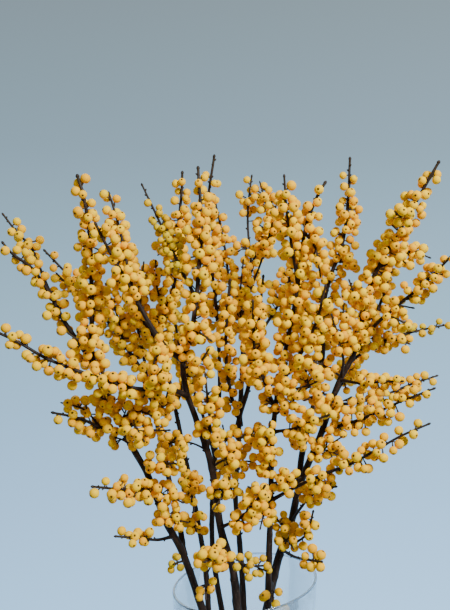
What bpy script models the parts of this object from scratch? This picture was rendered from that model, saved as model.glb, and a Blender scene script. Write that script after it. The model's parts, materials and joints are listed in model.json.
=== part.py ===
"""A bunch of winterberry holly, seven cut branches standing in a clear glass vase.

The vase stands on z = 0 with its axis on Z. +X is to the right of the bunch, +Y is its back.
Each cut branch is one solid of wood. Round every berry-laden stretch of a shoot sits one closed
sleeve, the space that its berries fill.
"""
import math

import bmesh
import bpy
import numpy as np
from mathutils import Vector

MM = 0.001

# Vase: a slightly conical thrown cylinder whose rim is cut on a slant, higher at +X.
VASE_HEIGHT = 300 * MM
VASE_TOP_RADIUS = 75 * MM
VASE_FOOT_RADIUS = 62 * MM
VASE_WALL = 3 * MM
VASE_BASE = 10 * MM
VASE_FOOT_ROUND = 4 * MM
RIM_SLOPE = 0.117
VASE_SIDES = 40

# Wood
STEM_SIDES = 6
SHOOT_SIDES = 5
WOOD_STEP = 22 * MM

# Berry sleeves
SLEEVE_SIDES = 6
FEELERS = 3
SHORTEST_BAND = 5 * MM
BORE_GAP = 2.2 * MM
THINNEST_SLEEVE = 2.4 * MM
SHORTEST_SLEEVE = 16 * MM
NEIGHBOUR_GAP = 1.1 * MM
REACH_STEP = 0.4 * MM
LUMP = 0.9 * MM
LUMPS_ROUND = 5
LUMP_TWIST = 0.37
FINE_STEP = 3 * MM
CURVE_STEPS = 12

# The direction that every ring round the wood starts from, so that rings never twist
SIDE = np.array((0.92, 0.39, 0.0))

# Every shoot: what it grows from, its thickness at the foot and the tip, the berry-laden length,
# the bare length at the tip, how far the berries reach from the wood, and its route in millimetres
# from the foot to the tip. The first shoot of each branch is the one that stands in the vase.
BRANCHES = {
    "far_left": {
        "stem": (None, 11.4, 3.0, 175, 7, 13, (
            (42, -14, 15), (9, -12, 115), (-26, -9, 218), (-60, -10, 325), (-80, -18, 370), (-97, -25, 420),
            (-117, -35, 462), (-133, -42, 505), (-146, -50, 537), (-146, -53, 595), (-146, -56, 650),
            (-150, -60, 690), (-156, -60, 712))),
        "outer": ("stem", 5.2, 2.4, 105, 5, 11, (
            (-146, -50, 537), (-160, -46, 556), (-177, -40, 580), (-191, -32, 604), (-208, -26, 626),
            (-228, -20, 640), (-238, -15, 650))),
        "outer_top": ("outer", 3.6, 2.0, 50, 9, 9, (
            (-188, -33, 600), (-199, -18, 618), (-214, -4, 646), (-230, 4, 662), (-243, 8, 678))),
        "low_arm": ("stem", 3.8, 2.2, 66, 2, 13, (
            (-121, -37, 468), (-138, -50, 474), (-158, -62, 486), (-180, -70, 493))),
        "front_arm": ("stem", 3.8, 2.2, 82, 2, 12, (
            (-82, -19, 376), (-94, -42, 408), (-116, -72, 420), (-140, -95, 430))),
        "lowest_arm": ("stem", 3.6, 2.0, 42, 2, 10, (
            (-72, -14, 352), (-88, -32, 356), (-106, -48, 364), (-124, -60, 370))),
        "inner": ("stem", 6.6, 2.4, 165, 3, 13, (
            (-63, -11, 331), (-68, 6, 362), (-84, 20, 424), (-97, 34, 480), (-111, 45, 516),
            (-132, 52, 545), (-152, 58, 572), (-176, 62, 600), (-197, 66, 622), (-214, 66, 640))),
        "behind": ("inner", 4.3, 2.2, 100, 4, 13, (
            (-99, 36, 486), (-108, 66, 520), (-118, 88, 556), (-124, 98, 596), (-126, 104, 630))),
    },
    "left": {
        "stem": (None, 8.2, 2.6, 180, 6, 12, (
            (-22, -30, 14), (-29, -4, 130), (-35, 16, 215), (-41, 31, 300), (-52, 38, 365), (-65, 41, 432),
            (-80, 44, 505), (-91, 46, 553), (-82, 44, 580), (-72, 45, 616), (-70, 45, 660),
            (-66, 50, 700), (-65, 50, 722))),
        "side": ("stem", 3.8, 2.2, 95, 3, 12, (
            (-88, 45, 540), (-108, 30, 574), (-117, 22, 612), (-122, 18, 650))),
    },
    "tall_back": {
        "stem": (None, 8.2, 2.6, 175, 13, 12, (
            (20, 46, 14), (0, 46, 120), (-19, 48, 220), (-34, 54, 320), (-31, 66, 410),
            (-26, 74, 490), (-29, 80, 570), (-37, 83, 640), (-39, 85, 690), (-32, 85, 742))),
        "back_side": ("stem", 4.3, 2.2, 110, 4, 13, (
            (-31, 66, 414), (-48, 96, 462), (-66, 118, 504), (-76, 128, 545), (-80, 132, 585))),
    },
    "centre": {
        "stem": (None, 12.0, 2.8, 165, 15, 12, (
            (8, -42, 15), (3, -38, 130), (-4, -33, 230), (-10, -34, 312), (-17, -38, 345),
            (-25, -41, 375), (-33, -45, 434), (-46, -49, 477), (-57, -50, 510), (-60, -51, 541),
            (-52, -50, 567), (-46, -42, 612), (-43, -30, 670), (-46, -22, 722))),
        "left_arm": ("stem", 5.5, 2.4, 72, 4, 13, (
            (-60, -51, 541), (-74, -62, 552), (-92, -68, 580), (-110, -72, 616), (-126, -78, 646),
            (-136, -84, 668))),
        "left_fork": ("left_arm", 3.4, 2.0, 62, 4, 10, (
            (-104, -71, 604), (-113, -54, 636), (-120, -42, 664), (-130, -38, 697))),
        "behind": ("stem", 3.6, 2.0, 90, 20, 10, (
            (-47, -45, 598), (-62, -28, 624), (-80, -2, 660), (-94, 12, 688), (-104, 20, 708))),
        "front_arm": ("stem", 4.8, 2.4, 162, 4, 12, (
            (-55, -50, 504), (-72, -64, 514), (-101, -80, 518), (-128, -92, 528), (-152, -100, 538),
            (-178, -106, 550), (-200, -110, 564), (-223, -112, 576))),
        "low_front": ("stem", 3.2, 2.0, 34, 2, 12, (
            (-18, -39, 348), (-24, -56, 352), (-32, -74, 354), (-38, -92, 358))),
        "low_right": ("stem", 3.4, 2.0, 52, 2, 12, (
            (-24, -41, 372), (-6, -54, 386), (8, -62, 403), (17, -68, 421))),
        "right_knee": ("stem", 3.4, 2.0, 66, 2, 11, (
            (-38, -46, 450), (-34, -64, 476), (-36, -76, 504), (-38, -80, 530))),
    },
    "centre_back": {
        "stem": (None, 9.6, 2.6, 112, 5, 13, (
            (4, 12, 14), (3, 13, 130), (0, 15, 262), (-5, 15, 340), (-9, 12, 386), (-6, 10, 436),
            (-6, 9, 470), (-14, 4, 496), (-19, -2, 536), (-18, -6, 580), (-15, -8, 612))),
        "right_arm": ("stem", 5.5, 2.4, 108, 4, 12, (
            (-6, 9, 470), (3, 3, 500), (8, -4, 535), (14, -8, 575), (18, -8, 616))),
        "back_arm": ("stem", 6.0, 2.2, 130, 6, 12, (
            (-6, 10, 462), (-2, 44, 505), (0, 66, 545), (4, 86, 590), (14, 98, 636), (26, 104, 672),
            (34, 108, 700))),
        "back_tip": ("back_arm", 3.2, 2.0, 46, 5, 10, (
            (10, 94, 622), (6, 104, 660), (6, 110, 690), (10, 114, 722))),
        "back_left": ("back_arm", 3.8, 2.0, 84, 5, 11, (
            (1, 74, 562), (-14, 96, 600), (-19, 106, 636), (-24, 110, 662), (-30, 112, 690))),
        "rear_arm": ("back_arm", 4.1, 2.2, 100, 4, 13, (
            (-1, 56, 526), (22, 90, 552), (44, 112, 584), (58, 124, 622), (64, 130, 656))),
    },
    "inner_right": {
        "stem": (None, 9.6, 2.6, 185, 6, 12, (
            (26, -36, 14), (25, -27, 120), (23, -16, 220), (25, -14, 335), (26, -16, 378), (27, -20, 450),
            (31, -24, 496), (36, -27, 530), (44, -28, 570), (51, -30, 612), (57, -30, 662),
            (68, -28, 694), (76, -26, 708))),
        "top_fork": ("stem", 3.4, 2.0, 72, 5, 11, (
            (51, -30, 612), (44, -46, 644), (38, -54, 678), (35, -58, 712))),
        "left_side": ("stem", 3.8, 2.2, 92, 4, 12, (
            (30, -23, 488), (18, -44, 518), (8, -56, 552), (6, -62, 596))),
        "right_side": ("stem", 3.6, 2.2, 84, 4, 12, (
            (33, -25, 510), (50, -44, 540), (66, -54, 576), (74, -58, 610))),
        "low_arm": ("stem", 4.1, 2.0, 130, 4, 9, (
            (27, -17, 392), (50, -32, 410), (76, -46, 427), (102, -56, 441), (128, -62, 458),
            (146, -66, 470), (170, -70, 482))),
        "knee": ("stem", 3.4, 2.0, 50, 2, 11, (
            (28, -21, 464), (48, -44, 472), (62, -58, 482), (76, -68, 490))),
    },
    "right": {
        "stem": (None, 12.4, 2.8, 200, 9, 12, (
            (-38, 34, 15), (-12, 30, 110), (14, 25, 210), (36, 22, 312), (50, 20, 356), (57, 17, 392),
            (66, 14, 418), (80, 10, 455), (96, 9, 505), (111, 8, 535), (118, 4, 562), (120, 0, 590),
            (130, -10, 622), (147, -16, 655), (163, -22, 686), (184, -30, 727))),
        "tall_fork": ("stem", 7.2, 2.6, 190, 13, 12, (
            (57, 17, 392), (62, 26, 432), (72, 32, 470), (79, 36, 502), (84, 40, 536), (82, 44, 570),
            (92, 48, 614), (104, 51, 645), (110, 52, 690), (112, 55, 737))),
        "tall_side": ("tall_fork", 3.6, 2.2, 92, 4, 12, (
            (82, 39, 520), (70, 56, 556), (64, 62, 598), (66, 64, 640))),
        "left_twig": ("stem", 3.2, 2.0, 40, 2, 10, (
            (100, 8, 514), (98, -14, 536), (90, -26, 560), (84, -32, 580))),
        "high_arm": ("stem", 4.1, 2.2, 62, 3, 11, (
            (114, 6, 546), (134, -14, 574), (156, -26, 596), (178, -36, 618), (198, -44, 642))),
        "thin_arm": ("stem", 3.2, 2.0, 60, 8, 8, (
            (108, 8, 530), (132, 22, 542), (164, 36, 552), (192, 44, 558), (221, 50, 563))),
        "middle_arm": ("stem", 3.8, 2.0, 108, 4, 10, (
            (80, 10, 455), (108, -10, 470), (128, -24, 482), (150, -36, 496), (180, -46, 511))),
        "back_arm": ("stem", 3.8, 2.0, 100, 4, 9, (
            (90, 9, 484), (114, 26, 482), (148, 44, 486), (182, 58, 496), (212, 70, 503))),
        "short_arm": ("stem", 3.2, 2.0, 44, 2, 10, (
            (99, 8, 511), (116, -10, 510), (134, -24, 514), (152, -32, 516))),
        "low_twig": ("stem", 3.4, 2.0, 44, 2, 12, (
            (50, 20, 358), (62, -6, 386), (72, -24, 404), (88, -38, 412))),
        "lower_twig": ("stem", 3.2, 2.0, 42, 2, 10, (
            (42, 21, 330), (54, 4, 340), (64, -12, 356), (68, -26, 382))),
        "lowest_twig": ("stem", 3.4, 2.0, 40, 2, 12, (
            (40, 21, 324), (50, -20, 334), (58, -62, 348), (68, -102, 362))),
        "rear_arm": ("stem", 4.3, 2.2, 105, 4, 13, (
            (84, 10, 466), (98, 46, 486), (120, 82, 512), (136, 104, 546), (142, 114, 580))),
        "rear_side": ("stem", 4.1, 2.2, 100, 4, 12, (
            (113, 7, 541), (134, 26, 568), (150, 40, 606), (162, 50, 650))),
    },
}

BARK = (0.055, 0.034, 0.024, 1.0)
AMBER = (0.80, 0.40, 0.045, 1.0)
GREENISH = (0.62, 0.48, 0.10, 1.0)
GLASS = (0.93, 0.97, 0.97, 1.0)
GREENISH_SHOOTS = (("right", "thin_arm"), ("centre", "behind"))


class Shoot:
    """One shoot with its smooth centre line and the stretch that carries berries."""

    def __init__(self, branch, name, spec, parent):
        self.branch = branch
        self.name = name
        grows_from, foot, tip, laden, bare_tip, reach, route = spec
        anchors = [np.array(point, float) * MM for point in route]
        if parent is not None:
            anchors[0] = parent.nearest(anchors[0])
        self.line = even_line(anchors, FINE_STEP)
        self.length = float(np.linalg.norm(np.diff(self.line, axis=0), axis=1).sum())
        self.foot = foot / 2 * MM
        self.tip = tip / 2 * MM
        self.laden_from = max(0.0, self.length - (laden + bare_tip) * MM)
        self.laden_to = self.length - bare_tip * MM
        self.reach = reach * MM

    def nearest(self, point):
        """The point on the centre line nearest to a given one."""
        return self.line[np.argmin(np.linalg.norm(self.line - point, axis=1))]

    def at(self, distance):
        """The centre-line point at a distance from the foot."""
        share = min(max(distance / self.length, 0.0), 1.0) * (len(self.line) - 1)
        low = min(int(share), len(self.line) - 2)
        return self.line[low] + (self.line[low + 1] - self.line[low]) * (share - low)

    def heading(self, distance):
        """The unit direction of growth at a distance from the foot."""
        step = self.at(distance + FINE_STEP) - self.at(distance - FINE_STEP)
        return step / np.linalg.norm(step)

    def ring_distances(self):
        """Where the wood has a ring of corners, as distances from the foot."""
        return np.linspace(0, self.length, max(2, int(round(self.length / WOOD_STEP))) + 1)

    def radius(self, distance):
        """The wood's radius, which tapers evenly from foot to tip."""
        return self.foot + (self.tip - self.foot) * min(max(distance / self.length, 0.0), 1.0)


def even_line(anchors, step):
    """Evenly spaced points on a smooth curve through the anchors (Catmull-Rom)."""
    first = 2 * anchors[0] - anchors[1]
    last = 2 * anchors[-1] - anchors[-2]
    padded = [first, *anchors, last]
    dense = []
    for before, start, end, after in zip(padded, padded[1:], padded[2:], padded[3:]):
        for t in np.linspace(0, 1, CURVE_STEPS, endpoint=False):
            dense.append(0.5 * (2 * start + (end - before) * t
                                + (2 * before - 5 * start + 4 * end - after) * t ** 2
                                + (3 * start - before - 3 * end + after) * t ** 3))
    dense.append(anchors[-1])
    dense = np.array(dense)
    run = np.concatenate([[0], np.cumsum(np.linalg.norm(np.diff(dense, axis=0), axis=1))])
    places = np.linspace(0, run[-1], max(3, int(round(run[-1] / step)) + 1))
    return np.array([[np.interp(place, run, dense[:, axis]) for axis in range(3)] for place in places])


def cross_frame(heading, side):
    """Two unit directions across a heading, the first as close to side as can be."""
    side = side - heading * np.dot(side, heading)
    side = side / np.linalg.norm(side)
    return side, np.cross(heading, side)


def clear_scene():
    for obj in list(bpy.data.objects):
        bpy.data.objects.remove(obj, do_unlink=True)


def material(name, colour, roughness, transmission=0.0):
    made = bpy.data.materials.new(name)
    made.use_nodes = True
    shader = made.node_tree.nodes["Principled BSDF"]
    shader.inputs["Base Color"].default_value = colour
    shader.inputs["Roughness"].default_value = roughness
    shader.inputs["Metallic"].default_value = 0.0
    shader.inputs["Transmission Weight"].default_value = transmission
    made.diffuse_color = colour
    return made


def node_object(name, bm, finish, crease=40):
    """Turns a bmesh into a named object with its own material."""
    bmesh.ops.recalc_face_normals(bm, faces=bm.faces)
    mesh = bpy.data.meshes.new(name)
    bm.to_mesh(mesh)
    bm.free()
    mesh.materials.append(finish)
    mesh.shade_smooth()
    mesh.set_sharp_from_angle(angle=math.radians(crease))
    obj = bpy.data.objects.new(name, mesh)
    bpy.context.scene.collection.objects.link(obj)
    return obj


# ---- Vase -------------------------------------------------------------------------------------

def vase_outer_radius(height):
    return VASE_FOOT_RADIUS + (VASE_TOP_RADIUS - VASE_FOOT_RADIUS) * height / VASE_HEIGHT


def rim_height(x):
    return VASE_HEIGHT + RIM_SLOPE * x


def build_vase():
    """A turned wall and base, taken past the rim and then cut along the slanted rim plane."""
    over = VASE_HEIGHT + 2 * RIM_SLOPE * VASE_TOP_RADIUS
    outline = [(0, 0), (VASE_FOOT_RADIUS - VASE_FOOT_ROUND, 0)]
    outline += [(VASE_FOOT_RADIUS, VASE_FOOT_ROUND), (vase_outer_radius(over), over)]
    outline += [(vase_outer_radius(over) - VASE_WALL, over)]
    outline += [(vase_outer_radius(VASE_BASE) - VASE_WALL, VASE_BASE), (0, VASE_BASE)]
    bm = bmesh.new()
    verts = [bm.verts.new((radius, 0, height)) for radius, height in outline]
    edges = [bm.edges.new(pair) for pair in zip(verts, verts[1:])]
    bmesh.ops.spin(bm, geom=verts + edges, cent=(0, 0, 0), axis=(0, 0, 1), angle=math.tau,
                   steps=VASE_SIDES, use_merge=True)
    bmesh.ops.remove_doubles(bm, verts=bm.verts, dist=0.01 * MM)
    slant = Vector((-RIM_SLOPE, 0, 1)).normalized()
    bmesh.ops.bisect_plane(bm, geom=bm.verts[:] + bm.edges[:] + bm.faces[:], dist=0.001 * MM,
                           plane_co=(0, 0, VASE_HEIGHT), plane_no=slant, clear_outer=True)
    rim = [edge for edge in bm.edges if edge.is_boundary]
    bmesh.ops.bridge_loops(bm, edges=rim)
    return node_object("vase", bm, material("vase_glass", GLASS, 0.03, transmission=1.0))


def clears_vase(point):
    """Whether a point keeps off the vase's wall and rim."""
    margin = 2.0 * MM
    if point[2] > rim_height(point[0]) + margin:
        return True
    out = math.hypot(point[0], point[1])
    wall = vase_outer_radius(point[2])
    return out < wall - VASE_WALL - margin or out > wall + margin


# ---- Wood -------------------------------------------------------------------------------------

def swept_ring(bm, ring, places):
    """Extrudes a ring of vertices once, to new places, and returns the new ring in the same order."""
    edges = [bm.edges.get((one, other)) for one, other in zip(ring, ring[1:] + ring[:1])]
    grown = bmesh.ops.extrude_edge_only(bm, edges=edges)["geom"]
    fresh = {item for item in grown if isinstance(item, bmesh.types.BMVert)}
    following = []
    for old, place in zip(ring, places):
        new = next(edge.other_vert(old) for edge in old.link_edges if edge.other_vert(old) in fresh)
        new.co = place
        following.append(new)
    return following


def ring_places(shoot, distance, radii, side):
    """Places of a ring of vertices round the shoot, at a radius for each."""
    across, up = cross_frame(shoot.heading(distance), side)
    centre = shoot.at(distance)
    turns = np.arange(len(radii)) * math.tau / len(radii)
    return [Vector(centre + (across * math.cos(turn) + up * math.sin(turn)) * radius)
            for turn, radius in zip(turns, radii)]


def first_ring(bm, places):
    ring = bmesh.ops.create_circle(bm, segments=len(places), radius=MM)["verts"]
    for vert, place in zip(ring, places):
        vert.co = place
    return ring


def shoot_solid(shoot, sides):
    """A closed tapered tube along one shoot."""
    bm = bmesh.new()
    ring = first_ring(bm, ring_places(shoot, 0, [shoot.radius(0)] * sides, SIDE))
    bm.faces.new(ring)
    for distance in shoot.ring_distances()[1:]:
        ring = swept_ring(bm, ring, ring_places(shoot, distance, [shoot.radius(distance)] * sides, SIDE))
    bm.faces.new(ring)
    return bm


def build_wood(branch, shoots):
    """One branch: its stem with every shoot joined to it as a single solid."""
    bark = material(f"{branch}_bark", BARK, 0.75)
    name = f"branch_{branch}"
    stem = node_object(name, shoot_solid(shoots[0], STEM_SIDES), bark)
    growths = []
    for shoot in shoots[1:]:
        tube = shoot_solid(shoot, SHOOT_SIDES)
        growth = node_object(f"growth_{shoot.name}", tube, bark)
        joint = stem.modifiers.new(shoot.name, "BOOLEAN")
        joint.operation = "UNION"
        joint.solver = "EXACT"
        joint.object = growth
        growths.append(growth)
    if growths:
        graph = bpy.context.evaluated_depsgraph_get()
        joined = bpy.data.meshes.new_from_object(stem.evaluated_get(graph))
        stem.modifiers.clear()
        stem.data = joined
    for growth in growths:
        bpy.data.objects.remove(growth, do_unlink=True)
    return stem


# ---- Berry sleeves ----------------------------------------------------------------------------

class Neighbours:
    """Every shoot's centre line as one cloud of points, to keep sleeves off their neighbours."""

    def __init__(self, shoots):
        self.points = np.concatenate([shoot.line for shoot in shoots])
        owners = [np.full(len(shoot.line), index) for index, shoot in enumerate(shoots)]
        self.owner = np.concatenate(owners)
        wood, laden = [], []
        for shoot in shoots:
            for distance in np.linspace(0, shoot.length, len(shoot.line)):
                wood.append(shoot.radius(distance))
                laden.append(shoot.laden_from <= distance <= shoot.laden_to)
        self.wood = np.array(wood)
        self.laden = np.array(laden)

    def free_reach(self, index, centre, direction, reach, least):
        """How far a sleeve may go from its own centre line before it meets a neighbour, or 0."""
        near = (np.linalg.norm(self.points - centre, axis=1) < 3 * reach) & (self.owner != index)
        points, wood, laden = self.points[near], self.wood[near], self.laden[near]
        radii = np.arange(least, reach, REACH_STEP)[:, None]
        places = centre + direction * radii
        off = np.linalg.norm(points[None] - places[:, None], axis=2)
        needed = np.where(laden, np.maximum(radii, wood) + NEIGHBOUR_GAP, wood + 2 * NEIGHBOUR_GAP)
        clear = np.all(off > needed, axis=1) & [clears_vase(place) for place in places]
        steps = len(clear) if clear.all() else int(np.argmin(clear))
        return float(radii[steps - 1, 0]) if steps else 0.0


def sleeve_radii(shoots, index, distance, neighbours):
    """The sleeve's radius at each of its corners, or None where it has no room."""
    shoot = shoots[index]
    across, up = cross_frame(shoot.heading(distance), SIDE)
    centre = shoot.at(distance)
    least = shoot.radius(distance) + BORE_GAP + THINNEST_SLEEVE
    free = []
    for feeler in range(SLEEVE_SIDES * FEELERS):
        turn = feeler * math.tau / (SLEEVE_SIDES * FEELERS)
        direction = across * math.cos(turn) + up * math.sin(turn)
        lump = LUMP * math.sin(LUMPS_ROUND * turn + distance / MM * LUMP_TWIST)
        free.append(neighbours.free_reach(index, centre, direction, shoot.reach + lump, least))
    if min(free) == 0:
        return None
    around = [np.roll(free, turn) for turn in range(1 - FEELERS, FEELERS)]
    return np.min(around, axis=0)[::FEELERS]


def sleeve_runs(shoots, index, neighbours):
    """The stretches of a shoot where a sleeve has room, each a list of distances and radii."""
    shoot = shoots[index]
    runs = [[]]
    for distance in np.arange(shoot.laden_from, shoot.laden_to, FINE_STEP):
        radii = sleeve_radii(shoots, index, distance, neighbours)
        if radii is not None:
            runs[-1].append((distance, radii))
        elif runs[-1]:
            runs.append([])
    return [run for run in runs if run and run[-1][0] - run[0][0] >= SHORTEST_SLEEVE]


def sleeve_rings(shoot, run):
    """The sleeve's rings, each as slim as the slimmest place between the rings beside it.

    Between its ends they are where the wood has its own rings, so that the bore follows the wood.
    """
    distances = np.array([distance for distance, radii in run])
    radii = np.array([radii for distance, radii in run])
    start, end = distances[0], distances[-1]
    places = [place for place in shoot.ring_distances()
              if start + SHORTEST_BAND < place < end - SHORTEST_BAND]
    places = [start, *places, end]
    rings = []
    for number, place in enumerate(places):
        low = places[max(number - 1, 0)]
        high = places[min(number + 1, len(places) - 1)]
        rings.append((place, radii[(distances >= low - 1e-9) & (distances <= high + 1e-9)].min(axis=0)))
    return rings


def sleeve_solid(shoot, run):
    """A closed sleeve: a ring swept along the outside and back through the bore."""
    outer = sleeve_rings(shoot, run)
    inner = [(place, [shoot.radius(place) + BORE_GAP] * SLEEVE_SIDES)
             for place, radii in reversed(outer)]
    bm = bmesh.new()
    first = ring = first_ring(bm, ring_places(shoot, *outer[0], SIDE))
    for place, radii in outer[1:] + inner:
        ring = swept_ring(bm, ring, ring_places(shoot, place, radii, SIDE))
    ends = [bm.edges.get((one, other)) for loop in (first, ring)
            for one, other in zip(loop, loop[1:] + loop[:1])]
    bmesh.ops.bridge_loops(bm, edges=ends)
    return bm


def build_sleeves(shoots):
    neighbours = Neighbours(shoots)
    for index, shoot in enumerate(shoots):
        runs = sleeve_runs(shoots, index, neighbours)
        labels = [""] if len(runs) == 1 else [f"_{number + 1}" for number in range(len(runs))]
        for run, label in zip(runs, labels):
            name = f"berries_{shoot.branch}_{shoot.name}{label}"
            colour = GREENISH if (shoot.branch, shoot.name) in GREENISH_SHOOTS else AMBER
            node_object(name, sleeve_solid(shoot, run), material(f"{name}_skin", colour, 0.4), crease=75)


# ---- The whole bunch ---------------------------------------------------------------------------

def grow_bunch():
    """All shoots, branch by branch, each starting on the wood it grows from."""
    grown = {}
    for branch, specs in BRANCHES.items():
        made = {}
        for name, spec in specs.items():
            made[name] = Shoot(branch, name, spec, made.get(spec[0]))
        grown[branch] = list(made.values())
    return grown


def main():
    clear_scene()
    build_vase()
    bunch = grow_bunch()
    for branch, shoots in bunch.items():
        build_wood(branch, shoots)
    build_sleeves([shoot for shoots in bunch.values() for shoot in shoots])


main()
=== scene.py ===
"""A bunch of winterberry holly branches in a clear glass vase: the looks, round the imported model.

Lengths are in metres; the routes and thicknesses in the tables are in millimetres. The vase stands
on z = 0 with its axis on Z, +X is to the right of the bunch and +Y is its back.
"""
import json
import math
import random

import bmesh
import bpy
import numpy as np
from mathutils import Matrix, Vector, noise

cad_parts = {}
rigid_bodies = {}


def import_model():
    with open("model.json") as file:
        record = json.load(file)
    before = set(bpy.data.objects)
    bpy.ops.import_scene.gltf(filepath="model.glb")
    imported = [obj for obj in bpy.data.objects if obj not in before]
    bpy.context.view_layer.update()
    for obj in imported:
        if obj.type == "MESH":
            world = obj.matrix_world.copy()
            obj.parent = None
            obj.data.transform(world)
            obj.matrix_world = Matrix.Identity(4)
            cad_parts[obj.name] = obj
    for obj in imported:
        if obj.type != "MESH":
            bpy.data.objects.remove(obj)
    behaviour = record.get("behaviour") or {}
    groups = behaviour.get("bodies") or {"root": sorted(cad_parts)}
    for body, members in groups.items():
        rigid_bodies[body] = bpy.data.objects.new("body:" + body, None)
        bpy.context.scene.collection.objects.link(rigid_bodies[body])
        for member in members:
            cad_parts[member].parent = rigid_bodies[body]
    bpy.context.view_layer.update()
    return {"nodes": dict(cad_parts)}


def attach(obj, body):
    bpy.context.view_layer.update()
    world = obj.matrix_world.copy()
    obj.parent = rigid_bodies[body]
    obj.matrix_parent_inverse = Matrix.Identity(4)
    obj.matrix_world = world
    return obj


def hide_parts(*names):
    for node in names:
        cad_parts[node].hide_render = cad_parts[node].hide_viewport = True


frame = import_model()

MM = 0.001

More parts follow.
